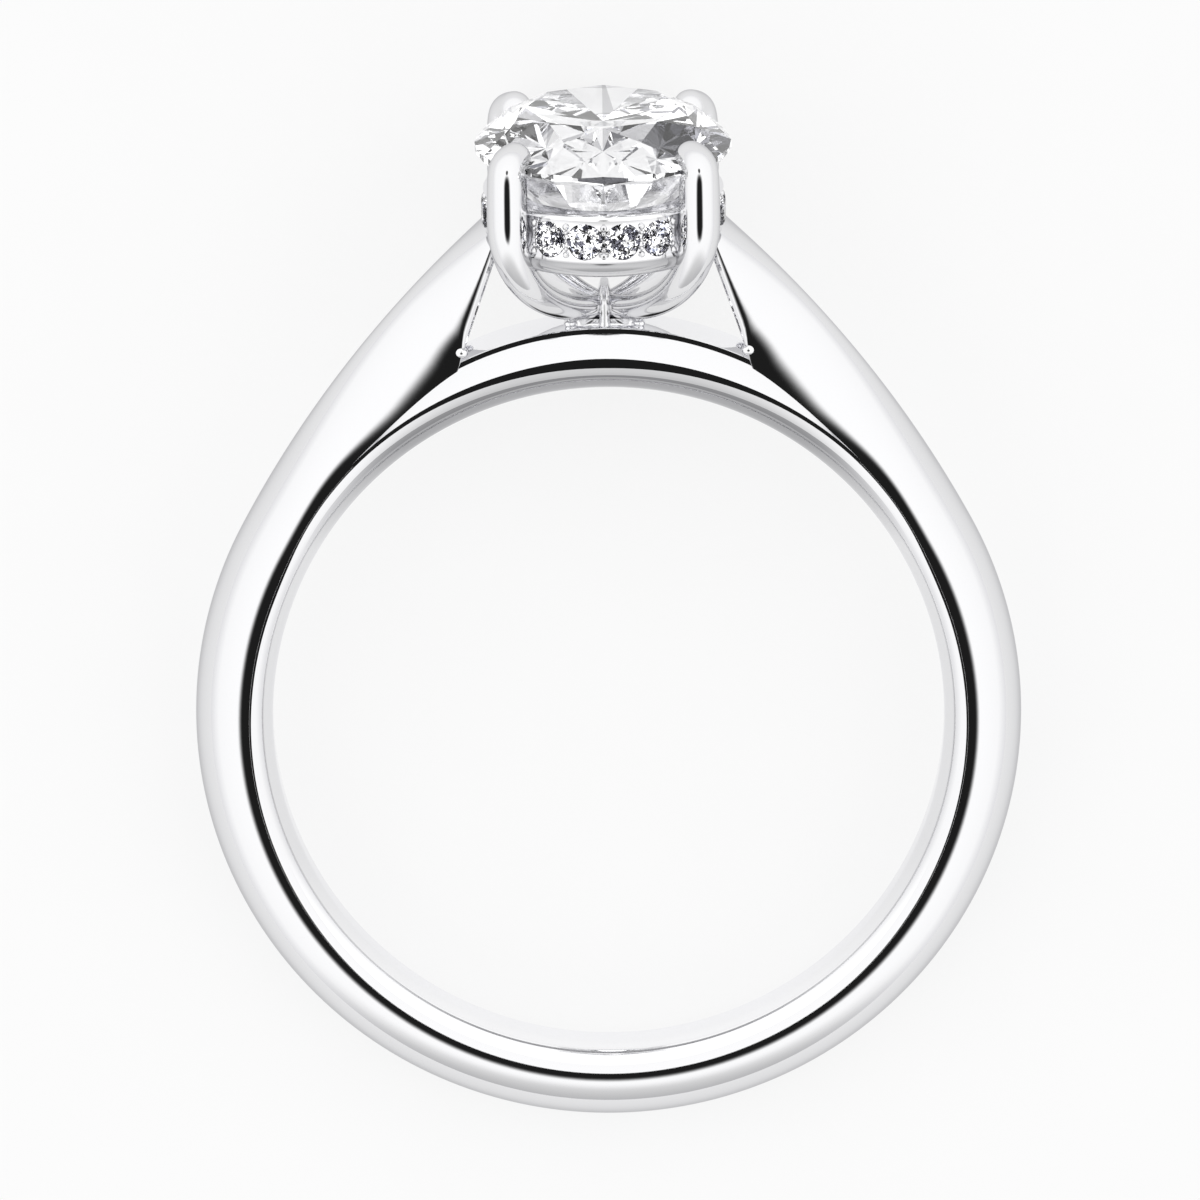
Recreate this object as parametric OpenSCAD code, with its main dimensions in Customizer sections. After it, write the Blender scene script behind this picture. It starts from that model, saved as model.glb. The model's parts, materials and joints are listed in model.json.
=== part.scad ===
// Solitaire ring with a hidden halo: an oval brilliant on four claws, over a band of small stones.
// The ring lies on its side. It is drawn round the finger axis Z, with its head towards +Y, and then tilted
// onto the two places that it rests on: the foot of the band and the lower end of the halo rail.

/* [Band] */
// Bore of the band, for the finger
finger_d = 16.5; // [15.5:0.1:17.5]
// Thickness of the band from the bore to its outer side
band_wall = 1.9; // [1.8:0.05:2.0]
// Width of the band along the finger
band_w = 2.5; // [2.3:0.05:2.6]
// Depth of the rounded inner edge, from the bore to the widest place of the band
comfort = 0.65; // [0.6:0.01:0.7]
// Thickness of the bridge, the part of the band that runs on under the head
bridge_wall = 1.48; // [1.45:0.01:1.5]
// Width of the bridge along the finger
bridge_w = 2.4; // [2.3:0.02:2.42]

/* [Shoulders] */
// Angle from the head at which the shoulders leave the round band
shoulder_from = 62; // [61:0.5:63]
// Radius of the long curve of each shoulder
shoulder_r = 28; // [27:0.5:29]
// Width of a shoulder where it meets the head
shoulder_end_w = 2; // [1.8:0.05:2.2]
// Depth of the rounded outer side of a shoulder
dome = 1.3; // [1.25:0.01:1.35]

/* [Centre stone] */
// Width of the centre stone across the finger
stone_w = 6.3; // [6.2:0.05:6.4]
// Length of the centre stone along the finger
stone_l = 8.5; // [8.3:0.05:8.7]
// Height of the stone's crown above its girdle
crown_h = 0.85; // [0.8:0.01:0.9]
// Depth of the stone's pavilion below its girdle
pavilion_h = 2.7; // [2.6:0.05:2.8]
// Height of the stone's girdle above the bore
girdle_rise = 6; // [5.95:0.01:6.05]

/* [Halo] */
// Outer width of the halo rail across the finger
rail_w = 5.9; // [5.85:0.01:5.95]
// Outer length of the halo rail along the finger
rail_l = 8.1; // [8.05:0.01:8.15]
// Thickness of the rail
rail_wall = 0.75; // [0.72:0.01:0.78]
// Height of the rail
rail_h = 1.3; // [1.25:0.01:1.35]
// Drop from the girdle to the top of the rail
rail_drop = 0.95; // [0.93:0.01:1]
// Diameter of the small stones of the halo
melee_d = 0.88; // [0.84:0.01:0.88]
// Spacing of the small stones along the rail
melee_pitch = 0.98; // [0.96:0.01:0.98]

/* [Claws] */
// Diameter of the claws
claw_d = 1; // [0.95:0.01:1.05]
// Angle on the oval of the stone at which the claws stand
claw_at = 47; // [46:0.5:48]
// Distance from the edge of the stone out to the middle of a claw
claw_out = 0.22; // [0.21:0.01:0.23]
// Height of the claws above the girdle
claw_rise = 0.65; // [0.63:0.01:0.67]
// Radius of the bend at the foot of a claw
foot_bend = 1.25; // [1.2:0.01:1.3]
// Slope of the claw wires as they run in to the post
foot_slope = 16; // [15.5:0.5:17]

/* [Hidden] */
$fn = 96;
HALO = [for (side = [0:3]) for (i = [0:halo_row(side) - 1]) [side, i]];

metal = "gainsboro";
gem = "aliceblue";

// Gap left between a stone and its seat
seat_gap = 0.03;
// How far the sections of the band reach into the bore before it is cut
bore_cut = 0.05;
// How far pieces of metal are sunk into each other where they are soldered
solder = 0.3;
// Sides of the ovals of the rail
oval_n = 48;

finger_r = finger_d / 2;
band_r = finger_r + band_wall;
half_w = band_w / 2;
crest_r = finger_r + comfort;
bridge_r = finger_r + bridge_wall;
girdle_y = finger_r + girdle_rise;
girdle_t = 0.18;
table_y = girdle_y + girdle_t / 2 + crown_h;
table_share = 0.6;

rail_top = girdle_y - rail_drop;
rail_foot = rail_top - rail_h;
rail_mid = rail_top - rail_h / 2;

// Rest on the foot of the band, a rounded edge of radius half_w, and on the lower end of the rail
band_edge_r = band_r - half_w;
rest_reach = norm([rail_foot + band_edge_r, rail_l / 2]);
tilt = atan2(rail_l / 2, rail_foot + band_edge_r) - asin(half_w / rest_reach);
rest_z = band_edge_r * sin(tilt) + half_w;
table_tip = table_share * stone_l / 2;
back_y = table_y * cos(tilt) + table_tip * sin(tilt);
front_y = -band_edge_r * cos(tilt) - half_w;
mid_y = (back_y + front_y) / 2;

// Laid on its side, with the middle of its box over the origin
module at_rest() {
    translate([0, -mid_y, rest_z])
        rotate([tilt, 0, 0])
            children();
}

// Head frame: Z is the height above the middle of the bore, Y runs along the finger
module on_head() {
    rotate([-90, 0, 0])
        children();
}

// Points of an oval
function oval(a, b, n) = [for (i = [0:n - 1]) [a * cos((i + 0.5) * 360 / n), b * sin((i + 0.5) * 360 / n)]];

// Section of the band as points of radius and axial place: a round outer side and a rounded inner edge
function outer_side(r, out, w, step) = [for (a = [-90:step:90]) [r + out * cos(a), w * sin(a)]];
function inner_side(r, in, land, w, step) = concat(
    [for (a = [90:-step:0]) [r - in * cos(a), land + (w - land) * sin(a)]],
    [for (a = [0:-step:-90]) [r - in * cos(a), -land + (w - land) * sin(a)]]
);

// Share of the inner side that stays straight
land_share = 0.3;
// The bridge's rounded face ends at a flat strip, set back by a share of its width, and its top is beveled
strip_h = 0.15;
strip_share = 0.82;
top_bevel = 0.12;

module band_section() {
    polygon(concat(
        outer_side(band_r - half_w, half_w, half_w, 15),
        inner_side(crest_r, comfort + bore_cut, half_w * land_share, half_w, 18)
    ));
}

// Rounded face of the bridge on one side, from its crest up to the strip and over the bevel
function bridge_face(side, w, rise, back) = concat(
    [for (a = [0:15:75]) [crest_r + rise * sin(a), side * (w - back * (1 - cos(a)))]],
    [[bridge_r - top_bevel / 2, side * (w - back)], [bridge_r, side * (w - back - top_bevel)]]
);

module bridge_section() {
    w = bridge_w / 2;
    rise = bridge_r - strip_h - crest_r;
    back = w * (1 - strip_share);
    upper = bridge_face(1, w, rise, back);
    polygon(concat(
        bridge_face(-1, w, rise, back),
        [for (i = [len(upper) - 1:-1:0]) upper[i]],
        inner_side(crest_r, comfort + bore_cut, w * land_share, w, 18)
    ));
}

// The round band ends inside the shoulders, and the thinner bridge closes the ring under the head
band_end = shoulder_from - 8;
bridge_end = shoulder_from + 3;

module band() {
    rotate([0, 0, 90 + band_end])
        rotate_extrude(angle = 360 - 2 * band_end)
            band_section();
}

module bridge() {
    rotate([0, 0, 90 - bridge_end])
        rotate_extrude(angle = 2 * bridge_end)
            bridge_section();
}

// A shoulder is a blade: its outer line is a long arc tangent to the band, and it reaches down to the bridge,
// or to the slanted side of the window under the head
shoulder_mid = (shoulder_r - band_r) * [sin(shoulder_from), -cos(shoulder_from)];
shoulder_start = shoulder_from + 4;
shoulder_stop = asin((shoulder_mid[0] + rail_w / 2 - rail_wall * 0.6) / shoulder_r);
shoulder_steps = 14;
window_foot = [-3.5, bridge_r - 0.43];
window_head = [-2.8, bridge_r + 1.42];
// Play of the blade beside the band, at its start and from the band's end on
blade_start_w = half_w - 0.12;
blade_full_w = half_w + 0.02;
blade_dip = 0.14;
// The web is set back from the rounded outer side, and its inner corners are cut
web_set = 0.1;
web_step = 0.25;
web_cut = 0.15;

function cross2(a, b) = a[0] * b[1] - a[1] * b[0];
function arc_point(t) = shoulder_mid + shoulder_r * [-sin(t), cos(t)];
function down(t) = [sin(t), -cos(t)];
function to_circle(p, d, r) = -p * d - sqrt(max(0, (p * d) * (p * d) - p * p + r * r));
function to_line(p, d, a, b) = cross2(a - p, b - a) / cross2(d, b - a);
function ramp(t, t0, t1) = max(0, min(1, (t - t0) / (t1 - t0)));

// Depth of the blade below its outer line, half its width there, and how far it starts inside the band
function blade_depth(t) =
    let (p = arc_point(t), d = down(t))
        max(dome + solder, min(to_circle(p, d, bridge_r - solder), to_line(p, d, window_foot, window_head)));
function blade_w(t) =
    t > band_end
        ? blade_start_w + (blade_full_w - blade_start_w) * ramp(t, shoulder_start, band_end)
        : blade_full_w - (blade_full_w - shoulder_end_w / 2) * ramp(t, band_end, shoulder_stop);
function blade_sunk(t) = blade_dip * (1 - ramp(t, shoulder_start, shoulder_from - 4));

function blade_section(t) =
    let (
        p = arc_point(t),
        d = down(t),
        w = blade_w(t),
        web = w - web_set,
        depth = blade_depth(t),
        outline = concat(
            [for (a = [-90:15:90]) [blade_sunk(t) + dome * (1 - cos(a)), w * sin(a)]],
            [[dome + web_step, web], [depth - web_cut, web], [depth, web - web_cut]],
            [[depth, -web + web_cut], [depth - web_cut, -web], [dome + web_step, -web]]
        )
    )
        [for (q = outline) [p[0] + d[0] * q[0], p[1] + d[1] * q[0], q[1]]];

// Solid through a list of closed sections with equal numbers of points
module loft(sections) {
    n = len(sections[0]);
    last = len(sections) - 1;
    points = [for (s = sections) each s];
    sides = [
        for (i = [0:last - 1])
            for (j = [0:n - 1])
                for (half = [0, 1])
                    half == 0
                        ? [i * n + j, (i + 1) * n + j, (i + 1) * n + (j + 1) % n]
                        : [i * n + j, (i + 1) * n + (j + 1) % n, i * n + (j + 1) % n]
    ];
    ends = [[for (j = [0:n - 1]) j], [for (j = [n - 1:-1:0]) last * n + j]];
    polyhedron(points, concat(sides, ends));
}

module rail_inside() {
    polygon(oval(rail_w / 2 - rail_wall, rail_l / 2 - rail_wall, oval_n));
}

// The shoulders end at the rail, clear of the space inside it and of the seats of its stones
module shoulder() {
    span = shoulder_stop - shoulder_start;
    difference() {
        loft([for (i = [0:shoulder_steps]) blade_section(shoulder_start + span * i / shoulder_steps)]);
        on_head()
            translate([0, 0, rail_foot - rail_h])
                linear_extrude(height = 3 * rail_h)
                    rail_inside();
        on_head()
            halo_seats();
    }
}

// Place of a claw: on the outward normal of the stone's edge
claw_edge = [stone_w / 2 * cos(claw_at), stone_l / 2 * sin(claw_at)];
claw_normal = [stone_l * cos(claw_at), stone_w * sin(claw_at)];
claw_xy = claw_edge + claw_out * claw_normal / norm(claw_normal);
claw_reach = norm(claw_xy);
claw_turn = atan2(claw_xy[1], claw_xy[0]);
claw_r = claw_d / 2;
bend_z = rail_top - 0.95;
slope_x = claw_reach - foot_bend * (1 - sin(foot_slope));
slope_z = bend_z - foot_bend * cos(foot_slope);
post_z = slope_z - slope_x * tan(foot_slope);
// The wire is a little thinner than the claw and tapers to the post
wire_r = claw_r - 0.03;
wire_foot_r = 0.28;
// The tip of a claw leans in over the stone
tip_in = 0.28;

// One claw: upright, with a rounded tip over the stone's edge, and a wire that bends in to the post
module claw() {
    tip_z = girdle_y + claw_rise - claw_r;
    translate([claw_reach, 0, bend_z])
        cylinder(r = claw_r, h = tip_z - bend_z);
    translate([claw_reach, 0, tip_z - 0.02])
        sphere(r = claw_r + 0.02);
    translate([claw_reach - tip_in, 0, tip_z + 0.08])
        sphere(r = claw_r - 0.08);
    translate([claw_reach - foot_bend, 0, bend_z])
        rotate([90, 0, 0])
            rotate([0, 0, foot_slope - 90])
                rotate_extrude(angle = 90 - foot_slope + 2)
                    translate([foot_bend, 0])
                        circle(r = wire_r);
    translate([0, 0, post_z])
        rotate([0, 90 - foot_slope, 0])
            cylinder(r1 = wire_foot_r, r2 = wire_r - 0.03, h = slope_x / cos(foot_slope) + 0.05);
}

// Post of the head: the hub of the four wires, a fin along the finger, and its seat on the bridge
hub_r = 0.42;
fin = [0.34, 1.4];
seat = [1.7, 1.2];
seat_rise = 0.25;

// Block over the bridge, from inside it up to a height
module block(size, top) {
    foot = bridge_r - solder;
    translate([-size[0] / 2, -size[1] / 2, foot])
        cube([size[0], size[1], top - foot]);
}

module post() {
    translate([0, 0, post_z])
        sphere(r = hub_r);
    block(fin, post_z + hub_r + 0.13);
    block(seat, bridge_r + seat_rise);
}

// The rail has a lip under it, set back from its outer side
lip_h = 0.3;
lip_back = 0.22;

module rail_ring(foot, top, back) {
    translate([0, 0, foot])
        linear_extrude(height = top - foot)
            difference() {
                polygon(oval(rail_w / 2 - back, rail_l / 2 - back, oval_n));
                rail_inside();
            }
}

module rail() {
    rail_ring(rail_foot, rail_top, 0);
    rail_ring(rail_foot - lip_h, rail_mid, lip_back);
}

// The halo has a row over each end of the finger axis and a row on each side, between the claws
function halo_row(side) = side % 2 == 0 ? 6 : 4;
// Angle on the oval reached after a run along it from an angle, in small steps
along_steps = 24;
function along(at, run, n = along_steps) =
    n == 0 ? at : along(at + run / along_steps / oval_speed(at) * 180 / PI, run, n - 1);
function oval_speed(at) = norm([rail_w / 2 * sin(at), rail_l / 2 * cos(at)]);
function halo_at(side, i) = along(90 * side, (i - (halo_row(side) - 1) / 2) * melee_pitch);

// Frame of a small stone: its table faces out of the rail
module on_rail(at) {
    turn = atan2(rail_w * sin(at), rail_l * cos(at));
    translate([rail_w / 2 * cos(at), rail_l / 2 * sin(at), rail_mid])
        rotate([0, 90, turn])
            children();
}

melee_proud = 0.05;
melee_crown = 0.13;
melee_pavilion = 0.38;
melee_girdle = 0.03;
melee_z = melee_proud - melee_crown - melee_girdle / 2;
// The seat is open outwards by this much, and its cone ends in a small round
seat_open = 0.4;
seat_tip = 0.03;

module melee_seat() {
    r = melee_d / 2 + seat_gap / 2;
    low = melee_z - melee_girdle / 2 - seat_gap;
    translate([0, 0, low])
        cylinder(r = r, h = seat_open);
    translate([0, 0, low - melee_pavilion])
        cylinder(r1 = seat_tip, r2 = r, h = melee_pavilion);
}

module halo_seats() {
    for (h = HALO)
        on_rail(halo_at(h[0], h[1]))
            melee_seat();
}

// Brilliant cut: table, eight stars, eight kites and sixteen upper halves on the crown, a girdle of 32 sides,
// sixteen lower halves and eight mains on the pavilion. Radii are shares of the half width.
function ring_points(n, r, z, a, b, shift) =
    [for (i = [0:n - 1]) [a * r * cos((i + shift) * 360 / n), b * r * sin((i + shift) * 360 / n), z]];

module brilliant(a, b, crown, pavilion, girdle) {
    star = 0.78;
    lower = 0.23;
    flat = cos(22.5);
    star_z = girdle / 2 + crown * (1 - (star * flat - table_share) / (1 - table_share));
    lower_z = -girdle / 2 - pavilion * (1 - lower * flat);
    // The facets next to the girdle cut it in scallops
    out = (1 - cos(11.25)) / (cos(11.25) - star * cos(11.25));
    top_dip = out * (star_z - girdle / 2);
    low = (1 - cos(11.25)) / (cos(11.25) - lower * cos(11.25));
    low_rise = low * (-girdle / 2 - lower_z);
    edge = ring_points(32, 1, 0, a, b, 0);
    upper = [for (i = [0:31]) edge[i] + [0, 0, girdle / 2 - (i % 2 == 1 ? min(top_dip, girdle * 0.4) : 0)]];
    under = [for (i = [0:31]) edge[i] - [0, 0, girdle / 2 - (i % 2 == 1 ? min(low_rise, girdle * 0.4) : 0)]];
    points = concat(
        ring_points(8, table_share, girdle / 2 + crown, a, b, 0),
        ring_points(8, star, star_z, a, b, 0.5),
        upper,
        under,
        ring_points(8, lower, lower_z, a, b, 0.5),
        [[0, 0, -girdle / 2 - pavilion]]
    );
    // First index of each ring of points
    s = 8;
    u = 16;
    v = 48;
    l = 80;
    c = 88;
    faces = concat(
        [[for (i = [7:-1:0]) i]],
        [for (i = [0:7]) [i, (i + 1) % 8, s + i]],
        [for (i = [0:7]) [i, s + i, u + 4 * i]],
        [for (i = [0:7]) [(i + 1) % 8, u + (4 * i + 4) % 32, s + i]],
        [for (i = [0:7]) for (k = [0:3]) [s + i, u + (4 * i + k + 1) % 32, u + 4 * i + k]],
        [for (i = [0:31]) [u + i, u + (i + 1) % 32, v + (i + 1) % 32]],
        [for (i = [0:31]) [u + i, v + (i + 1) % 32, v + i]],
        [for (i = [0:7]) for (k = [0:3]) [l + i, v + 4 * i + k, v + (4 * i + k + 1) % 32]],
        [for (i = [0:7]) [c, v + 4 * i, l + i]],
        [for (i = [0:7]) [c, l + i, v + (4 * i + 4) % 32]]
    );
    polyhedron(points, faces);
}

module centre_gem(grow) {
    translate([0, 0, girdle_y])
        brilliant(
            stone_w / 2 + grow, stone_l / 2 + grow,
            crown_h + grow, pavilion_h + grow, girdle_t + 2 * grow
        );
}

module head() {
    difference() {
        union() {
            rail();
            post();
            for (k = [-1, 1])
                for (m = [0, 1])
                    rotate([0, 0, k * claw_turn + 180 * m])
                        claw();
        }
        centre_gem(seat_gap);
        halo_seats();
    }
}

// The metal is one soldered piece
module ring_setting() {
    color(metal)
        at_rest()
            difference() {
                union() {
                    band();
                    bridge();
                    shoulder();
                    mirror([1, 0, 0])
                        shoulder();
                    on_head()
                        head();
                }
                cylinder(r = finger_r, h = 2 * band_w, center = true);
            }
}

module center_stone() {
    color(gem)
        at_rest()
            on_head()
                centre_gem(0);
}

module halo_stone(k) {
    color(gem)
        at_rest()
            on_head()
                on_rail(halo_at(HALO[k - 1][0], HALO[k - 1][1]))
                    translate([0, 0, melee_z])
                        brilliant(melee_d / 2, melee_d / 2, melee_crown, melee_pavilion, melee_girdle);
}

ring_setting();
center_stone();
for (k = [1:len(HALO)])
    halo_stone(k);
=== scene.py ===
"""Looks of the hidden halo ring, which lies on its side on a pale floor.

The metal is rebuilt here as smooth lofts, in the millimetres of the ring's own frame: U runs across the finger,
V towards the head and A along the finger, from the middle of the bore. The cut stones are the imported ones.
"""

import json
import math

import bmesh
import bpy
import numpy as np
from mathutils import Matrix, Vector


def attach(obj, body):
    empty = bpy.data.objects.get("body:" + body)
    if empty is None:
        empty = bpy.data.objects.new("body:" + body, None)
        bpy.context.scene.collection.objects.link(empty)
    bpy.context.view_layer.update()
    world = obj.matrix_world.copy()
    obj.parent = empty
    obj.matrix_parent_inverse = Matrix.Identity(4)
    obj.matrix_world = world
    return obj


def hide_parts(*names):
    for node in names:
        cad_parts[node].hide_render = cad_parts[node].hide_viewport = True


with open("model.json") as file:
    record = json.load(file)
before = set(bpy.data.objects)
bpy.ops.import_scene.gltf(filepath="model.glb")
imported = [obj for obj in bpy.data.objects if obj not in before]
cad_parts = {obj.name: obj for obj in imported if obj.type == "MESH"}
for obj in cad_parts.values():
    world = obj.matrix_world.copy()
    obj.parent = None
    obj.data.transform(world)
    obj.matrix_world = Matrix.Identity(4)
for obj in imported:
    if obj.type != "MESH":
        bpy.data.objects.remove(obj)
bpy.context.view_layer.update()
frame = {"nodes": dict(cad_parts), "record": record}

MM = 0.001
BODY = "root"
record = frame["record"]

# Band and bridge
BORE_R = 8.25
BAND_R = 10.15
HALF_W = 1.25
CREST_R = 8.9
BRIDGE_R = 9.73
BRIDGE_HALF_W = 1.2
BRIDGE_BLEND = (40, 58)
BAND_STEP = 1.5
INNER_SHY = 0.002
COMFORT_OVER = 1.08
INNER_ROWS = 12
FACE_ROWS = 12

# By angle from the head: radius of the edge between inner side and face, height of the flat land inside it, and
# radius of the bridge's top and how far it stands back, which past the window lies inside the shoulder
EDGE_AT = (0, 15, 30, 42, 55, 65, 90, 115, 140, 180)
EDGE_R = (9.13, 9.09, 9.06, 9.04, 8.94, 8.9, 8.9, 8.9, 8.9, 8.9)
LAND = (0.25, 0.17, 0.1, 0.09, 0.06, 0.15, 0.11, 0.08, 0.02, 0.01)
TOP_AT = (0, 8, 15, 22, 30, 36, 42, 55)
TOP_R = (9.85, 9.83, 9.78, 9.7, 9.58, 9.42, 9.22, 9.1)
TOP_BACK = (0.225, 0.225, 0.22, 0.23, 0.29, 0.3, 0.28, 0.25)

FACE_TURN = (17.5, 25.5)
STRIP_H = 0.14
FLAT_SHARE = 0.3

# Shoulders
SHOULDER_FROM = 62
SHOULDER_R = 28
SHOULDER_END_W = 0.97
SHOULDER_SUNK = 0.2
SHOULDER_WIDE_AT = 59
SHOULDER_STEP = 0.4
DOME = 2.06
DOME_FALLS_AT = 47
DOME_BLENDS_AT = 54
WEB_SHARE = 0.6
WINDOW_FOOT = (-3.5, BRIDGE_R - 0.6)
WINDOW_HEAD = (-2.8, BRIDGE_R + 1.42)
WINDOW_BEVEL = 0.22
WINDOW_LEAN = 8.5
SIDE_BEVEL = 0.004

# Head
STONE_A, STONE_B = 3.15, 4.25
GIRDLE_V = BORE_R + 6
RAIL_A, RAIL_B = 2.95, 4.05
RAIL_WALL = 0.75
RAIL_TOP = GIRDLE_V - 0.95
RAIL_FOOT = RAIL_TOP - 1.3
RAIL_ROUND = 0.12
RAIL_BACK_ROUND = 0.08
RAIL_STEP = 2.5
LIP_H = 0.3
LIP_REACH = 0.5
CLAW_AT = 47
CLAW_OUT = 0.26
CLAW_R = 0.5
TIP_R = 0.43
CLAW_RISE = 0.7
CLAW_LEAN = 0.32
CLAW_SIDES = 32
LEAN_POWER = 20
WIRE_R = 0.27
WIRE_DROP = 2.65
WIRE_TURN = (-6, 90, 4)
FOOT_V = RAIL_TOP - 0.4
POST_V = FOOT_V - WIRE_DROP
POST_R = (0.36, 0.36, 0.33)
TIP_V = GIRDLE_V + CLAW_RISE - TIP_R
FIN = (0.3, 1.1)
FIN_RISE = 0.55
SEAT = (1.7, 1.2)
SEAT_RISE = 0.25
SOLDER_AT = (3.52, 0.9, BRIDGE_R - 0.48)
SOLDER_R = (0.17, 0.12, 0.15)
SEAT_SOLDER_AT = (SEAT[0] / 2, 0.5, BRIDGE_R + SEAT_RISE - 0.12)
SEAT_SOLDER_R = (0.16, 0.14, 0.12)

# Halo
MELEE_R = 0.44
MELEE_PROUD = 0.05
MELEE_CROWN = 0.13
MELEE_PITCH = 0.98
SEAT_GAP = 0.03
HALO_ROWS = (6, 4, 6, 4)
BEAD_ROWS = ((0.35, 0.09), (0.2, 0.06), (0, 0.045))
BEAD_SUNK = 0.07
CHANNEL = 0.09

SHARP = math.radians(20)
BAND_SHARP = math.radians(13)


# Frame of the ring

def ring_place():
    """Matrix from the ring's millimetres to the row frame, read from the bore mount."""
    mount = record["mounts"][0]
    along = Vector(mount["axis"]).normalized()
    across = Vector((1, 0, 0))
    up = along.cross(across)
    turn = Matrix((across, up, along)).transposed().to_4x4()
    return Matrix.Translation(mount["pos_m"]) @ turn @ Matrix.Scale(MM, 4)


PLACE = ring_place()


def on_head(points):
    """Points given across the finger, along it and by height above the bore, in the ring's frame."""
    p = np.asarray(points, float)
    return np.stack([p[..., 0], p[..., 2], -p[..., 1]], -1)


# Mesh code

def tube_faces(rows, count, closed):
    """Faces between rows of a loft, with its ends shut unless it is closed."""
    faces = []
    for i in range(rows if closed else rows - 1):
        a, b = i * count, (i + 1) % rows * count
        for j in range(count):
            k = (j + 1) % count
            faces.append((a + j, a + k, b + k, b + j))
    if not closed:
        faces.append(tuple(range(count))[::-1])
        faces.append(tuple((rows - 1) * count + j for j in range(count)))
    return faces


def loft(sections, closed=False):
    """Points and faces of a solid through equal sections."""
    p = np.asarray(sections, float)
    return p.reshape(-1, 3), tube_faces(p.shape[0], p.shape[1], closed)


def joined(parts):
    """Several pairs of points and faces as one."""
    points, faces, base = [], [], 0
    for p, f in parts:
        points.append(p)
        faces += [tuple(base + i for i in face) for face in f]
        base += len(p)
    return np.concatenate(points), faces


def mesh_object(name, points, faces, material=None):
    mesh = bpy.data.meshes.new(name)
    mesh.from_pydata([PLACE @ Vector(p) for p in points], [], faces)
    bm = bmesh.new()
    bm.from_mesh(mesh)
    bmesh.ops.recalc_face_normals(bm, faces=bm.faces)
    bm.to_mesh(mesh)
    bm.free()
    piece = bpy.data.objects.new(name, mesh)
    bpy.context.scene.collection.objects.link(piece)
    if material:
        mesh.materials.append(material)
    return piece


def smooth(piece, angle=SHARP):
    mesh = piece.data
    mesh.polygons.foreach_set("use_smooth", [True] * len(mesh.polygons))
    mesh.set_sharp_from_angle(angle=angle)
    return piece


def cut(piece, tool):
    """Takes the tool's solids out of the piece, and deletes the tool."""
    change = piece.modifiers.new("cut", "BOOLEAN")
    change.operation = "DIFFERENCE"
    change.solver = "EXACT"
    change.use_self = True
    change.object = tool
    evaluated = piece.evaluated_get(bpy.context.evaluated_depsgraph_get())
    mesh = bpy.data.meshes.new_from_object(evaluated)
    piece.modifiers.clear()
    piece.data = mesh
    bpy.data.objects.remove(tool)
    return piece


def metal_piece(name, parts, tools=(), finish=None):
    piece = mesh_object(name, *joined(parts), finish or METAL)
    for tool in tools:
        cut(piece, mesh_object("tool", *joined(tool)))
    smooth(piece)
    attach(piece, BODY)
    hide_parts("ring_setting")
    return piece


def smooth_min(a, b, k):
    return (a + b - math.sqrt((a - b) ** 2 + k * k)) / 2


def ramp(t, t0, t1):
    x = min(1, max(0, (t - t0) / (t1 - t0)))
    return x * x * (3 - 2 * x)


# Inner ring: the comfort fit of the band, which goes on as the bridge under the head

def smooth_table(at, places, values):
    """Value at a place between a table's, with the corners of its straight runs rounded off."""
    return sum(np.interp(abs(at + step), places, values) for step in (-4, -2, 0, 2, 4)) / 5


def ring_section(w, off):
    """Section as points of radius and axial place, for a half width and an angle from the head."""
    flat = HALF_W * FLAT_SHARE
    over = COMFORT_OVER
    edge, land = smooth_table(off, EDGE_AT, EDGE_R), smooth_table(off, EDGE_AT, LAND)
    top = smooth_table(off, TOP_AT, TOP_R)
    comfort = (edge - land - BORE_R) / (1 - math.sqrt(1 - 1 / over**2))
    end = math.degrees(math.asin(1 / over))
    inner = [
        (BORE_R + comfort * (1 - math.cos(math.radians(a))), flat + (w - flat) * over * math.sin(math.radians(a)))
        for a in np.linspace(0, end, INNER_ROWS)
    ]
    rise = max(0.02, top - STRIP_H - edge)
    back = smooth_table(off, TOP_AT, TOP_BACK)
    first, last = (math.radians(a) for a in FACE_TURN)
    face = [
        (
            edge + rise * (math.sin(a) - math.sin(first)) / (math.sin(last) - math.sin(first)),
            w - back * (math.cos(first) - math.cos(a)) / (math.cos(first) - math.cos(last)),
        )
        for a in np.linspace(first, last, FACE_ROWS)
    ]
    strip = [
        (top - 0.02, w - back),
        (top - 0.005, w - back - 0.015),
        (top, w - back - 0.05),
    ]
    side = inner + face + strip
    return side + [(r, -a) for r, a in side[::-1]]


def inner_ring():
    sections = []
    for t in np.arange(0, 360, BAND_STEP):
        off = min(t, 360 - t)
        w = BRIDGE_HALF_W + (HALF_W - INNER_SHY - BRIDGE_HALF_W) * ramp(off, *BRIDGE_BLEND)
        out = np.array((math.sin(math.radians(t)), math.cos(math.radians(t))))
        sections.append([(*(r * out), a) for r, a in ring_section(w, off)])
    return loft(sections, closed=True)


# Outer shank: the rounded outside of the band and both shoulders, from one side of the head round to the other

SHOULDER_MID = (SHOULDER_R - BAND_R) * np.array(
    (math.sin(math.radians(SHOULDER_FROM)), -math.cos(math.radians(SHOULDER_FROM)))
)
CORNER_T = math.degrees(math.atan2(SHOULDER_MID[0] - WINDOW_FOOT[0], WINDOW_FOOT[1] - SHOULDER_MID[1]))
SHOULDER_STOP = math.degrees(math.asin((SHOULDER_MID[0] + RAIL_A - SHOULDER_SUNK) / SHOULDER_R))


def to_circle(p, d, r):
    along = p @ d
    return -along - math.sqrt(max(0, along * along - p @ p + r * r))


def to_line(p, d, a, b):
    a, b = np.array(a), np.array(b)
    run, gap = b - a, a - p
    return (gap[0] * run[1] - gap[1] * run[0]) / (d[0] * run[1] - d[1] * run[0])


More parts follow.
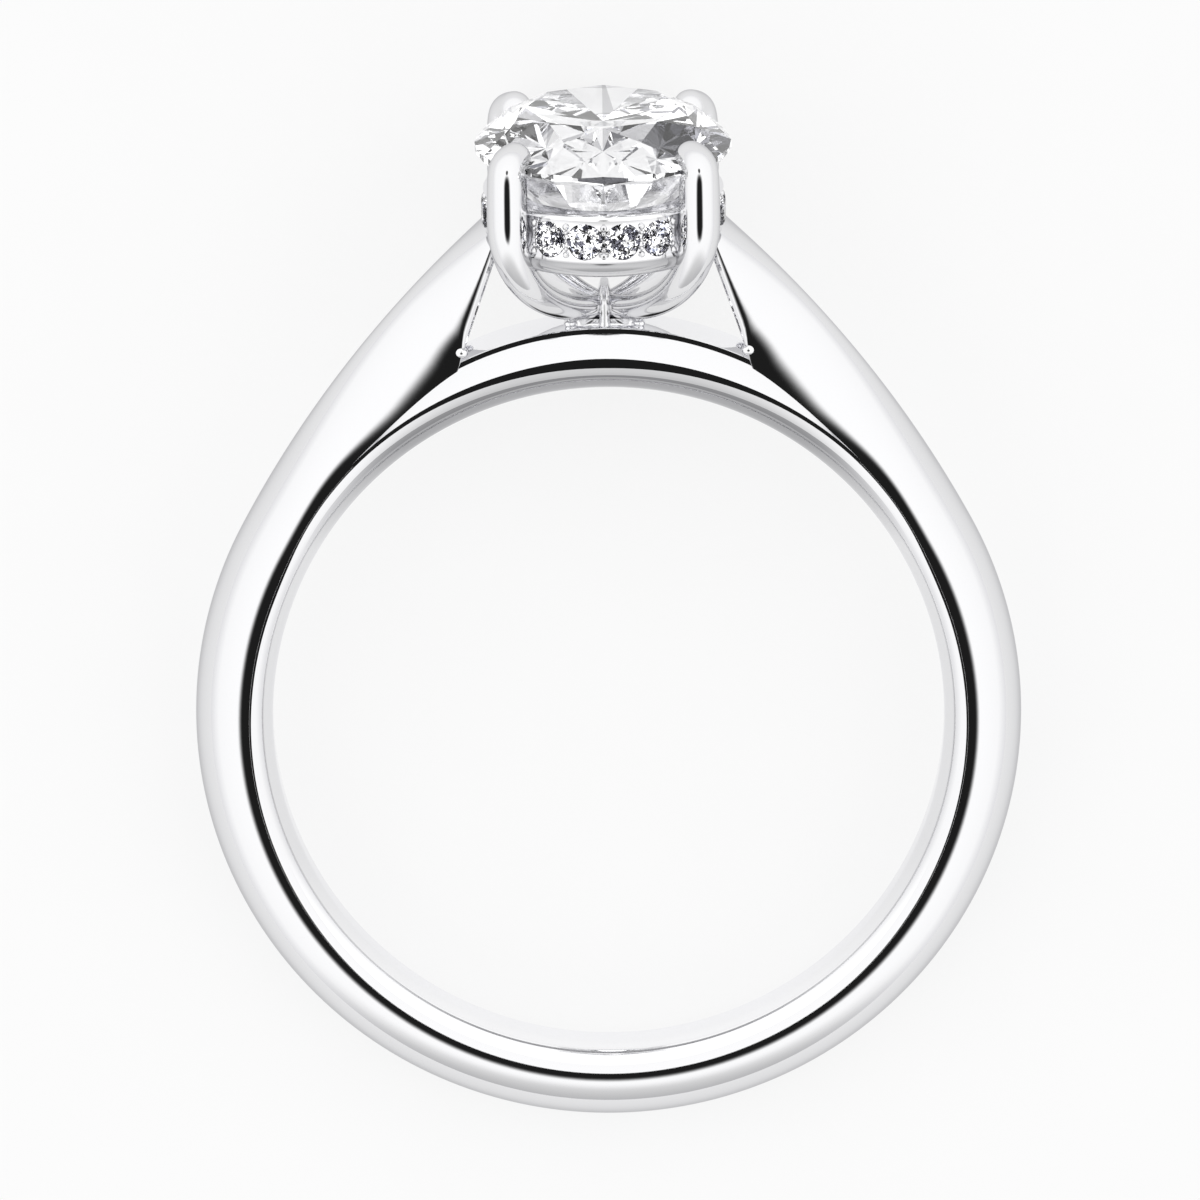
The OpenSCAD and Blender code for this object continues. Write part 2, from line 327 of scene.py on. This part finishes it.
def web_root(off):
    """Radius down to which the outer shank goes, inside the inner ring's land."""
    return smooth_table(off, EDGE_AT, EDGE_R) - WEB_SHARE * smooth_table(off, EDGE_AT, LAND)


def shank_station(t):
    """Outline point, direction inwards, depth, depth of the dome and half width, for an angle from the head."""
    turn = math.radians(t)
    inwards = np.array((math.sin(turn), -math.cos(turn)))
    root = web_root(max(t, SHOULDER_FROM))
    if t >= SHOULDER_FROM:
        return -BAND_R * inwards, inwards, BAND_R - root, BAND_R - CREST_R, HALF_W
    p = SHOULDER_MID - SHOULDER_R * inwards
    for _ in range(3):
        end = p + inwards * to_circle(p, inwards, root)
        root = web_root(math.degrees(math.atan2(-end[0], end[1])))
    depth = smooth_min(to_circle(p, inwards, root), to_line(p, inwards, WINDOW_FOOT, WINDOW_HEAD), 0.05)
    dome = smooth_min(DOME + (BAND_R - CREST_R - DOME) * ramp(t, DOME_FALLS_AT, SHOULDER_FROM), depth - 0.1, 0.05)
    dome += (BAND_R - CREST_R - dome) * ramp(t, DOME_BLENDS_AT, SHOULDER_FROM)
    w = SHOULDER_END_W + (HALF_W - SHOULDER_END_W) * ramp(t, CORNER_T - 1, SHOULDER_WIDE_AT)
    return p, inwards, depth, dome, w


def shank_section(t, side):
    """On the band the dome ends square to the finger axis, and beside the window it ends in a bevel."""
    p, inwards, depth, dome, w = shank_station(t)
    window = 1 - ramp(t, CORNER_T - 1.5, CORNER_T + 0.5)
    bevel = SIDE_BEVEL + WINDOW_BEVEL * window
    end = math.radians(90 - WINDOW_LEAN * window)
    dome = dome + (depth - bevel - 0.02 - dome) * window
    half = [
        (dome * (1 - math.cos(a)) / (1 - math.cos(end)), w * math.sin(a) / math.sin(end))
        for a in np.linspace(0, end, 22)
    ]
    corner = [
        (depth - bevel * (1 - math.sin(x)), w - bevel * (1 - math.cos(x)))
        for x in np.radians((0, 22, 45, 68, 90))
    ]
    line = half[1:] + corner
    outline = [(q, -a) for q, a in line[::-1]] + half[:1] + line
    return [(side * (p[0] + inwards[0] * q), p[1] + inwards[1] * q, a) for q, a in outline]


def shank():
    blade = list(np.arange(SHOULDER_STOP, SHOULDER_FROM, SHOULDER_STEP))
    hoop = list(np.arange(SHOULDER_FROM, 180, BAND_STEP))
    left = [shank_section(t, 1) for t in blade + hoop + [180]]
    right = [shank_section(t, -1) for t in hoop[::-1] + blade[::-1]]
    return loft(left + right)


# Head

def oval_normal(a, b, at):
    n = np.array((b * math.cos(at), a * math.sin(at)))
    return n / np.linalg.norm(n)


def rail_sections():
    """The rail has a channel for its stones between two lips, and its foot is rounded."""
    low = RAIL_FOOT - LIP_H
    mid = (RAIL_TOP + RAIL_FOOT) / 2
    half = (RAIL_TOP - RAIL_FOOT) / 2 - RAIL_ROUND
    wall, r = RAIL_WALL, RAIL_BACK_ROUND
    quarter = np.radians(range(0, 91, 30))
    corner = [
        (-RAIL_ROUND * (1 - math.cos(x)), RAIL_TOP - RAIL_ROUND * (1 - math.sin(x)))
        for x in np.radians(range(0, 91, 15))
    ]
    back = [(-wall + r * (1 - math.sin(x)), RAIL_TOP - r * (1 - math.cos(x))) for x in quarter]
    foot = [(-wall + r * (1 - math.cos(x)), low + r * (1 - math.sin(x))) for x in quarter]
    cove = [
        (-LIP_REACH + LIP_REACH * math.sin(x), low + (LIP_H + RAIL_ROUND) * (1 - math.cos(x)))
        for x in np.radians(range(0, 91, 10))
    ]
    channel = [
        (-CHANNEL * (1 - abs(math.sin(x)) ** 3), mid + half * math.sin(x))
        for x in np.radians(range(-90, 91, 15))
    ]
    profile = corner + back + foot + cove + channel
    sections = []
    for at in np.radians(np.arange(0, 360, RAIL_STEP)):
        n = oval_normal(RAIL_A, RAIL_B, at)
        edge = np.array((RAIL_A * math.cos(at), RAIL_B * math.sin(at)))
        sections.append([(*(edge + off * n), z) for off, z in profile])
    return loft(on_head(sections), closed=True)


def claw_stations():
    """Rows of reach from the head's axis, height, radius and direction, from the crossing wires up to the tip."""
    edge = np.array((STONE_A * math.cos(math.radians(CLAW_AT)), STONE_B * math.sin(math.radians(CLAW_AT))))
    foot = edge + CLAW_OUT * oval_normal(STONE_A, STONE_B, math.radians(CLAW_AT))
    reach, turn = np.linalg.norm(foot), math.atan2(foot[1], foot[0])
    rise = TIP_V - FOOT_V
    rows = []
    for t in np.radians(np.arange(*WIRE_TURN)):
        share = max(0, t) / (math.pi / 2)
        rows.append((
            reach * math.sin(t), POST_V + WIRE_DROP * (1 - math.cos(t)), WIRE_R + (CLAW_R - WIRE_R) * share,
            math.atan2(WIRE_DROP * math.sin(t), reach * math.cos(t)),
        ))
    for k in np.concatenate([np.linspace(0.04, 0.7, 6), np.linspace(0.74, 1, 16)]):
        rows.append((
            reach - CLAW_LEAN * k**LEAN_POWER, FOOT_V + rise * k, CLAW_R + (TIP_R - CLAW_R) * k**5,
            math.pi / 2 + math.atan(LEAN_POWER * CLAW_LEAN * k ** (LEAN_POWER - 1) / rise),
        ))
    slope = math.atan(LEAN_POWER * CLAW_LEAN / rise)
    for t in np.radians((8, 16, 24, 32, 40, 48, 56, 64, 72, 79, 85)):
        out = TIP_R * math.sin(t)
        rows.append((
            reach - CLAW_LEAN - out * math.sin(slope), TIP_V + out * math.cos(slope), TIP_R * math.cos(t),
            math.pi / 2 + slope,
        ))
    return rows, turn


def claw(angle):
    rows, _ = claw_stations()
    sides = np.linspace(0, 2 * math.pi, CLAW_SIDES, endpoint=False)
    across = np.array((-math.sin(angle), math.cos(angle)))
    ahead = np.array((math.cos(angle), math.sin(angle)))
    sections = []
    for reach, z, r, slope in rows:
        section = []
        for s in sides:
            flat = ahead * (reach - r * math.cos(s) * math.sin(slope)) + across * r * math.sin(s)
            section.append((*flat, z + r * math.cos(s) * math.cos(slope)))
        sections.append(section)
    return loft(on_head(sections))


def claws():
    _, turn = claw_stations()
    return [claw(side * turn + half * math.pi) for side in (-1, 1) for half in (0, 1)]


def ball(centre, radii, rings=10, sides=20):
    """A ball or an egg as points and faces, in the head's frame."""
    points = [(0, 0, -1)]
    for i in range(1, rings):
        lat = math.pi * i / rings - math.pi / 2
        for j in range(sides):
            lon = 2 * math.pi * j / sides
            points.append((math.cos(lat) * math.cos(lon), math.cos(lat) * math.sin(lon), math.sin(lat)))
    points.append((0, 0, 1))
    faces = [(0, 1 + (j + 1) % sides, 1 + j) for j in range(sides)]
    for i in range(rings - 2):
        a, b = 1 + i * sides, 1 + (i + 1) * sides
        faces += [(a + j, a + (j + 1) % sides, b + (j + 1) % sides, b + j) for j in range(sides)]
    top = len(points) - 1
    faces += [(top - sides + j, top - sides + (j + 1) % sides, top) for j in range(sides)]
    return on_head(np.array(points) * radii + centre), faces


def pillow(size, foot, top, bulge=(0.12, 0.12)):
    """A block with rounded upright edges that widens towards its foot, in the head's frame."""
    sections = []
    for k in np.linspace(0, 1, 9):
        shrink = 0.05 * ramp(k, 0.8, 1)
        a, b = (size[i] / 2 + bulge[i] * (1 - k) - shrink for i in (0, 1))
        section = []
        for t in np.linspace(0, 2 * math.pi, 40, endpoint=False):
            c, s = math.cos(t), math.sin(t)
            section.append((
                a * math.copysign(abs(c) ** 0.6, c), b * math.copysign(abs(s) ** 0.6, s), foot + (top - foot) * k,
            ))
        sections.append(section)
    return loft(on_head(sections))


def solder_blobs():
    """Drops of solder at the corners of both windows and at the ends of the seat, front and back."""
    parts = []
    for side in (-1, 1):
        for face in (-1, 1):
            for (across, along, height), radii in ((SOLDER_AT, SOLDER_R), (SEAT_SOLDER_AT, SEAT_SOLDER_R)):
                parts.append(ball((side * across, face * along, height), radii))
    return parts


# Halo

def halo_angles():
    """Places of the small stones, as angles on the oval of the rail, row by row."""
    angles = []
    for side, count in enumerate(HALO_ROWS):
        for i in range(count):
            run = (i - (count - 1) / 2) * MELEE_PITCH
            angles.append(halo_along(side, run))
    return angles


def halo_along(side, run, steps=24):
    """Angle on the oval that lies a run along it from the middle of a row."""
    at = side * math.pi / 2
    for _ in range(steps):
        at += run / steps / math.hypot(RAIL_A * math.sin(at), RAIL_B * math.cos(at))
    return at


def on_rail(points, at):
    """Points in a small stone's frame, whose third axis leaves the rail, in the ring's frame."""
    n = oval_normal(RAIL_A, RAIL_B, at)
    edge = np.array((RAIL_A * math.cos(at), RAIL_B * math.sin(at)))
    mid = (RAIL_TOP + RAIL_FOOT) / 2
    p = np.asarray(points, float)
    flat = edge + p[..., 2:3] * n + p[..., 1:2] * np.array((-n[1], n[0]))
    return on_head(np.concatenate([flat, mid - p[..., 0:1]], -1))


def seat_tool(at):
    """A cone with a cylinder over it, as the source cuts it."""
    r = MELEE_R + SEAT_GAP / 2
    low = MELEE_PROUD - MELEE_CROWN - SEAT_GAP * 2
    rows = [(0.02, low - 0.38), (r, low), (r, low + 0.4)]
    turns = np.linspace(0, 2 * math.pi, 32, endpoint=False)
    sections = [[(q * math.cos(s), q * math.sin(s), z) for s in turns] for q, z in rows]
    return loft(on_rail(sections, at))


def stone_tool():
    """The centre stone's outside with its gap, from its cone up past the claws."""
    grow = 0.02
    rows = [(0.03, -2.75), (1, -0.1), (1, 0.1), (0.8, 0.62), (0.62, 0.96)]
    turns = np.linspace(0, 2 * math.pi, 64, endpoint=False)
    sections = [
        [((STONE_A + grow) * k * math.cos(s), (STONE_B + grow) * k * math.sin(s), GIRDLE_V + z) for s in turns]
        for k, z in rows
    ]
    return loft(on_head(sections))


def beads():
    """Grains of metal that hold the small stones, a row of them in each gap and beyond each row's ends."""
    parts = []
    for side, count in enumerate(HALO_ROWS):
        for i in range(count + 1):
            at = halo_along(side, (i - count / 2) * MELEE_PITCH)
            for height, r in BEAD_ROWS:
                for end in (-1, 1) if height else (1,):
                    p, f = ball((0, 0, 0), (r, r, r), 8, 12)
                    local = np.stack([p[:, 0] + end * height, p[:, 2], p[:, 1] - BEAD_SUNK], -1)
                    parts.append((on_rail(local, at), f))
    return parts


# Materials

STONE_IOR = 2.42
STONE_GLARE = 0.4
MELEE_GLARE = 0.1
FACET_STEP = 0.031
FLOOR_GLOW = 0.78
FLOOR_SHADES = (0.17, 0.18)


def material(name):
    made = bpy.data.materials.new(name)
    made.use_nodes = True
    tree = made.node_tree
    tree.nodes.clear()
    out = tree.nodes.new("ShaderNodeOutputMaterial")
    shader = tree.nodes.new("ShaderNodeBsdfPrincipled")
    tree.links.new(shader.outputs["BSDF"], out.inputs["Surface"])
    return made, tree, shader


def noise(tree, scale, detail, stretch=(1, 1, 1)):
    place = tree.nodes.new("ShaderNodeTexCoord")
    turn = tree.nodes.new("ShaderNodeMapping")
    turn.inputs["Scale"].default_value = stretch
    texture = tree.nodes.new("ShaderNodeTexNoise")
    texture.inputs["Scale"].default_value = scale
    texture.inputs["Detail"].default_value = detail
    tree.links.new(place.outputs["Object"], turn.inputs["Vector"])
    tree.links.new(turn.outputs["Vector"], texture.inputs["Vector"])
    return texture.outputs["Fac"]


def to_range(tree, value, low, high):
    change = tree.nodes.new("ShaderNodeMapRange")
    change.inputs["To Min"].default_value = low
    change.inputs["To Max"].default_value = high
    tree.links.new(value, change.inputs["Value"])
    return change.outputs["Result"]


def set_stops(tint, stops):
    """Gives a colour ramp its stops, as pairs of position and colour."""
    marks = tint.color_ramp.elements
    for i, (position, color) in enumerate(stops):
        mark = marks[i] if i < 2 else marks.new(position)
        mark.position = position
        mark.color = (*color, 1)


def polished_metal(name, shade=0.78, edge=0.66, roughness=(0.02, 0.07)):
    made, tree, shader = material(name)
    shader.inputs["Base Color"].default_value = (shade, shade, shade + 0.01, 1)
    shader.inputs["Specular Tint"].default_value = (edge, edge, edge + 0.01, 1)
    shader.inputs["Metallic"].default_value = 1
    tree.links.new(to_range(tree, noise(tree, 900, 4), *roughness), shader.inputs["Roughness"])
    bump = tree.nodes.new("ShaderNodeBump")
    bump.inputs["Strength"].default_value = 0.02
    bump.inputs["Distance"].default_value = 0.02 * MM
    tree.links.new(noise(tree, 2500, 3, (1, 1, 0.2)), bump.inputs["Height"])
    tree.links.new(bump.outputs["Normal"], shader.inputs["Normal"])
    return made


def painted_shade_metal(name, low, high, stops, edge, roughness=(0.02, 0.07)):
    """Metal with a painted shade that changes with the height above the bore: a painted reflection for sides that
    mirror the ring's own hollows.
    """
    made = polished_metal(name, edge=edge, roughness=roughness)
    tree = made.node_tree
    shader = next(n for n in tree.nodes if n.type == "BSDF_PRINCIPLED")
    place = tree.nodes.new("ShaderNodeTexCoord")
    height = tree.nodes.new("ShaderNodeVectorMath")
    height.operation = "DOT_PRODUCT"
    up = (PLACE.to_3x3() @ Vector((0, 1, 0))).normalized()
    height.inputs[1].default_value = up
    span = tree.nodes.new("ShaderNodeMapRange")
    base = up.dot(PLACE @ Vector((0, 0, 0)))
    span.inputs["From Min"].default_value = base + low * MM
    span.inputs["From Max"].default_value = base + high * MM
    tint = tree.nodes.new("ShaderNodeValToRGB")
    tree.links.new(place.outputs["Object"], height.inputs[0])
    tree.links.new(height.outputs["Value"], span.inputs["Value"])
    set_stops(tint, [(at, (shade, shade, shade + 0.01)) for at, shade in stops])
    tree.links.new(span.outputs["Result"], tint.inputs["Fac"])
    tree.links.new(tint.outputs["Color"], shader.inputs["Base Color"])
    return made


def clear_stone(name, glare=STONE_GLARE):
    made, tree, shader = material(name)
    shader.inputs["Transmission Weight"].default_value = 1
    shader.inputs["IOR"].default_value = STONE_IOR
    shader.inputs["Specular Tint"].default_value = (glare, glare, glare, 1)
    tree.links.new(to_range(tree, noise(tree, 1500, 1), 0, 0.01), shader.inputs["Roughness"])
    bump = tree.nodes.new("ShaderNodeBump")
    bump.inputs["Strength"].default_value = 0.01
    bump.inputs["Distance"].default_value = 0.002 * MM
    tree.links.new(noise(tree, 900, 1), bump.inputs["Height"])
    tree.links.new(bump.outputs["Normal"], shader.inputs["Normal"])
    return made, tree, shader


def shades(tree, value, stops):
    """Steps of colour over a value from 0 to 1."""
    tint = tree.nodes.new("ShaderNodeValToRGB")
    tint.color_ramp.interpolation = "CONSTANT"
    set_stops(tint, stops)
    tree.links.new(value, tint.inputs["Fac"])
    return tint.outputs["Color"]


def facet_flash_painted_stone(name, seed, stops):
    """Clear stone whose flat facets each get a painted shade by the way they face: painted flashes, dark and light,
    and blue-violet glints, such as a brilliant's facets show.
    """
    made, tree, shader = clear_stone(name)
    place = tree.nodes.new("ShaderNodeNewGeometry")
    snap = tree.nodes.new("ShaderNodeVectorMath")
    snap.operation = "SNAP"
    snap.inputs[1].default_value = (FACET_STEP,) * 3
    chance = tree.nodes.new("ShaderNodeTexWhiteNoise")
    chance.noise_dimensions = "4D"
    chance.inputs["W"].default_value = seed
    tree.links.new(place.outputs["True Normal"], snap.inputs[0])
    tree.links.new(snap.outputs["Vector"], chance.inputs["Vector"])
    tree.links.new(shades(tree, chance.outputs["Value"], stops), shader.inputs["Base Color"])
    return made


def sparkle_painted_stone(name, scale, stops):
    """Clear stone with angular patches of painted dark and light sparkle, for stones too small to show their own
    facets.
    """
    made, tree, shader = clear_stone(name, MELEE_GLARE)
    place = tree.nodes.new("ShaderNodeTexCoord")
    cells = tree.nodes.new("ShaderNodeTexVoronoi")
    cells.distance = "MANHATTAN"
    cells.inputs["Scale"].default_value = scale
    split = tree.nodes.new("ShaderNodeSeparateColor")
    tree.links.new(place.outputs["Object"], cells.inputs["Vector"])
    tree.links.new(cells.outputs["Color"], split.inputs["Color"])
    tree.links.new(shades(tree, split.outputs["Red"], stops), shader.inputs["Base Color"])
    return made


def pale_floor():
    made, tree, shader = material("pale_floor")
    shader.inputs["Roughness"].default_value = 0.9
    shader.inputs["Specular IOR Level"].default_value = 0.1
    shader.inputs["Emission Color"].default_value = (1, 1, 1, 1)
    shader.inputs["Emission Strength"].default_value = FLOOR_GLOW
    tint = tree.nodes.new("ShaderNodeValToRGB")
    set_stops(tint, [(i, (shade,) * 3) for i, shade in enumerate(FLOOR_SHADES)])
    tree.links.new(noise(tree, 300, 2), tint.inputs["Fac"])
    tree.links.new(tint.outputs["Color"], shader.inputs["Base Color"])
    return made


METAL = polished_metal("polished_white_metal")
# Copy of the metal for the head post: its lighter shade is painted light, and its higher roughness blurs its
# reflections
SOFT_PAINTED_LIGHT_METAL = polished_metal("soft_metal_painted_lighter", 0.86, 0.8, (0.1, 0.16))
# Lighter copy of the same metal, painted light for the strips on top of the bridge
PAINTED_LIGHT_METAL = polished_metal("metal_painted_lighter", 0.95, 0.98)
# Painted shade on the inner side: lightest low on the bore, darkest near the top under the head
INNER_PAINTED_SHADE_METAL = painted_shade_metal(
    "inner_metal_painted_shade", -BORE_R, BORE_R,
    ((0, 0.95), (0.06, 0.94), (0.3, 0.78), (0.76, 0.78), (0.92, 0.4)), 0.98,
)
# Painted shade on the rail: darker in a band at its foot and cove, under the small stones, and light above
RAIL_PAINTED_SHADE_METAL = painted_shade_metal(
    "rail_metal_painted_shade", RAIL_FOOT - LIP_H, RAIL_TOP,
    ((0, 0.85), (0.12, 0.62), (0.26, 0.42), (0.3, 0.93)), 0.85, (0.08, 0.14),
)
# Painted flashes on the centre stone's facets: blue-violet glints, black, grey and white
CENTRE_FLASH_PAINTED = facet_flash_painted_stone("brilliant_stone", 24, [
    (0, (0.74, 0.77, 0.95)), (0.03, (0.025, 0.025, 0.03)), (0.09, (0.35, 0.35, 0.37)), (0.2, (0.94, 0.94, 0.95)),
])
# Painted sparkle on the small stones: dark, blue-grey and white patches
MELEE = sparkle_painted_stone("small_brilliant_stone", 8500, [
    (0, (0.01, 0.01, 0.015)), (0.3, (0.3, 0.33, 0.45)), (0.33, (0.95, 0.95, 0.97)), (0.4, (1, 1, 1)),
])

# Pieces

def shade_band(piece):
    """Paints shade onto the inner side, graded by height, and paints the strips on top of the bridge lighter; both
    are painted reflections.
    """
    piece.data.materials.append(INNER_PAINTED_SHADE_METAL)
    piece.data.materials.append(PAINTED_LIGHT_METAL)
    columns = len(ring_section(HALF_W, 0))
    for face in piece.data.polygons:
        rows = [min(v % columns, columns - 1 - v % columns) for v in face.vertices]
        if max(rows) < INNER_ROWS - 2:
            face.material_index = 1
        elif min(rows) >= columns // 2 - 2:
            face.material_index = 2


halo_seats = [seat_tool(at) for at in halo_angles()]
shade_band(smooth(metal_piece("inner_band", [inner_ring()]), BAND_SHARP))
metal_piece("outer_shank", [shank()])
metal_piece("halo_rail", [rail_sections()], [halo_seats], RAIL_PAINTED_SHADE_METAL)
metal_piece("claws", claws(), [[stone_tool()] + halo_seats])
metal_piece("head_post", [
    ball((0, 0, POST_V), POST_R),
    pillow(FIN, BRIDGE_R - 0.2, POST_V + FIN_RISE, (0.03, 0.35)),
    pillow(SEAT, BRIDGE_R - 0.3, BRIDGE_R + SEAT_RISE, (0.12, 0.1)),
] + solder_blobs(), finish=SOFT_PAINTED_LIGHT_METAL)
metal_piece("halo_beads", beads())

for name, node in frame["nodes"].items():
    if name != "ring_setting":
        node.data.materials.clear()
        node.data.materials.append(CENTRE_FLASH_PAINTED if name == "center_stone" else MELEE)
        node.data.polygons.foreach_set("use_smooth", [False] * len(node.data.polygons))


# Studio

VIEW_TILT = 5.4
VIEW_DISTANCE = 900  # Far enough for the photo's flat view, and near enough for other views to keep the ring
FRAME_WIDTH = 29.52
PIXELS = 1200
BORE_PIXEL = (607.5, 710.5)
ROLL = 0.6
SENSOR = 36
TENT_STRENGTH = 1.27
TENT_SHADES = ((0, (0.76, 0.76, 0.77)), (1, (1, 1, 1)), (0.35, (0.95, 0.95, 0.95)))
STONE_STRENGTH = 2.3
CARD_SCALE = 2.6
CARD_SHADES = ((0, 0.005), (0.3, 0.4), (0.4, 1))
BOUNCES = 24

# Cards, as the angles where their soft edge ends and starts, and what they leave of the light
FOOT_CARD = (9, 22, 0.012)
BACK_CARD = (4, 8, 0.05)
LOW_CARD = (5, 45, 0.62)


def camera():
    """Looks down at the ring along the photo's line of sight, with the bore's middle where the photo has it."""
    bore = PLACE @ Vector((0, 0, 0))
    tilt = math.radians(VIEW_TILT)
    back = Vector((0, math.sin(tilt), math.cos(tilt)))
    up = Vector((0, math.cos(tilt), -math.sin(tilt)))
    step = FRAME_WIDTH / PIXELS * MM
    aim = bore + Vector((1, 0, 0)) * (PIXELS / 2 - BORE_PIXEL[0]) * step + up * (BORE_PIXEL[1] - PIXELS / 2) * step
    eye = bore + back * VIEW_DISTANCE * MM
    data = bpy.data.cameras.new("camera")
    data.sensor_width = SENSOR
    data.lens = SENSOR * VIEW_DISTANCE / FRAME_WIDTH
    data.clip_start = 0.005
    data.clip_end = 10
    made = bpy.data.objects.new("camera", data)
    bpy.context.scene.collection.objects.link(made)
    bpy.context.scene.camera = made
    forward = (aim - eye).normalized()
    right = forward.cross(up).normalized()
    turn = Matrix((right, right.cross(forward), -forward)).transposed().to_4x4()
    made.matrix_world = Matrix.Translation(eye) @ turn @ Matrix.Rotation(math.radians(-ROLL), 4, "Z")
    return made


def floor():
    sides, radius = 96, 0.6
    turns = np.linspace(0, 2 * math.pi, sides, endpoint=False)
    points = [(radius * math.cos(a), radius * math.sin(a), 0) for a in turns]
    mesh = bpy.data.meshes.new("floor")
    mesh.from_pydata(points, [], [tuple(range(sides))])
    made = bpy.data.objects.new("floor", mesh)
    mesh.materials.append(pale_floor())
    bpy.context.scene.collection.objects.link(made)


def studio_light():
    """A white tent with soft darker cards for the metal, and a pattern of cards that light in the stones meets."""
    world = bpy.data.worlds.new("studio")
    bpy.context.scene.world = world
    world.use_nodes = True
    tree = world.node_tree
    tree.nodes.clear()
    out = tree.nodes.new("ShaderNodeOutputWorld")
    place = tree.nodes.new("ShaderNodeTexCoord")
    ray = tree.nodes.new("ShaderNodeLightPath")
    mix = tree.nodes.new("ShaderNodeMixShader")
    tree.links.new(ray.outputs["Is Transmission Ray"], mix.inputs["Fac"])
    tree.links.new(tent_light(tree, place), mix.inputs[1])
    tree.links.new(stone_light(tree, place), mix.inputs[2])
    tree.links.new(mix.outputs["Shader"], out.inputs["Surface"])


def tent_light(tree, place):
    """Greyer towards its foot. The cards darken what the faces square to the finger axis and to the camera mirror."""
    light = tree.nodes.new("ShaderNodeBackground")
    split = tree.nodes.new("ShaderNodeSeparateXYZ")
    tent = tree.nodes.new("ShaderNodeValToRGB")
    tree.links.new(place.outputs["Generated"], split.inputs["Vector"])
    tree.links.new(split.outputs["Z"], tent.inputs["Fac"])
    set_stops(tent, TENT_SHADES)
    tree.links.new(tent.outputs["Color"], light.inputs["Color"])
    back, foot = view_directions()
    low = Vector((0, -1, 0.05)).normalized()
    strength = TENT_STRENGTH
    for direction, card in ((foot, FOOT_CARD), (back, BACK_CARD), (low, LOW_CARD)):
        strength = shade(tree, place, direction, *card, strength)
    tree.links.new(strength, light.inputs["Strength"])
    return light.outputs["Background"]


def stone_light(tree, place):
    light = tree.nodes.new("ShaderNodeBackground")
    light.inputs["Strength"].default_value = STONE_STRENGTH
    cells = tree.nodes.new("ShaderNodeTexVoronoi")
    cells.inputs["Scale"].default_value = CARD_SCALE
    split = tree.nodes.new("ShaderNodeSeparateColor")
    tree.links.new(place.outputs["Generated"], cells.inputs["Vector"])
    tree.links.new(cells.outputs["Color"], split.inputs["Color"])
    cards = shades(tree, split.outputs["Red"], [(at, (shade,) * 3) for at, shade in CARD_SHADES])
    tree.links.new(cards, light.inputs["Color"])
    return light.outputs["Background"]


def shade(tree, place, direction, inner, outer, dark, strength):
    """Multiplies the strength by a dark card around a direction, with a soft edge between two angles."""
    near = tree.nodes.new("ShaderNodeVectorMath")
    near.operation = "DOT_PRODUCT"
    near.inputs[1].default_value = direction
    tree.links.new(place.outputs["Generated"], near.inputs[0])
    edge = tree.nodes.new("ShaderNodeMapRange")
    edge.interpolation_type = "SMOOTHERSTEP"
    edge.inputs["From Min"].default_value = math.cos(math.radians(outer))
    edge.inputs["From Max"].default_value = math.cos(math.radians(inner))
    edge.inputs["To Min"].default_value = 1
    edge.inputs["To Max"].default_value = dark
    tree.links.new(near.outputs["Value"], edge.inputs["Value"])
    product = tree.nodes.new("ShaderNodeMath")
    product.operation = "MULTIPLY"
    tree.links.new(edge.outputs["Result"], product.inputs[0])
    if isinstance(strength, (int, float)):
        product.inputs[1].default_value = strength
    else:
        tree.links.new(strength, product.inputs[1])
    return product.outputs["Value"]


def view_directions():
    """Back to the camera, and where a face square to the finger axis looks, seen from there."""
    axis = (PLACE.to_3x3() @ Vector((0, 0, 1))).normalized()
    tilt = math.radians(VIEW_TILT)
    back = Vector((0, math.sin(tilt), math.cos(tilt)))
    return back, 2 * axis * axis.dot(back) - back


camera()
floor()
studio_light()
bpy.context.scene.view_settings.view_transform = "Standard"
bpy.context.scene.cycles.max_bounces = BOUNCES
bpy.context.scene.cycles.transmission_bounces = BOUNCES
bpy.context.scene.cycles.glossy_bounces = BOUNCES
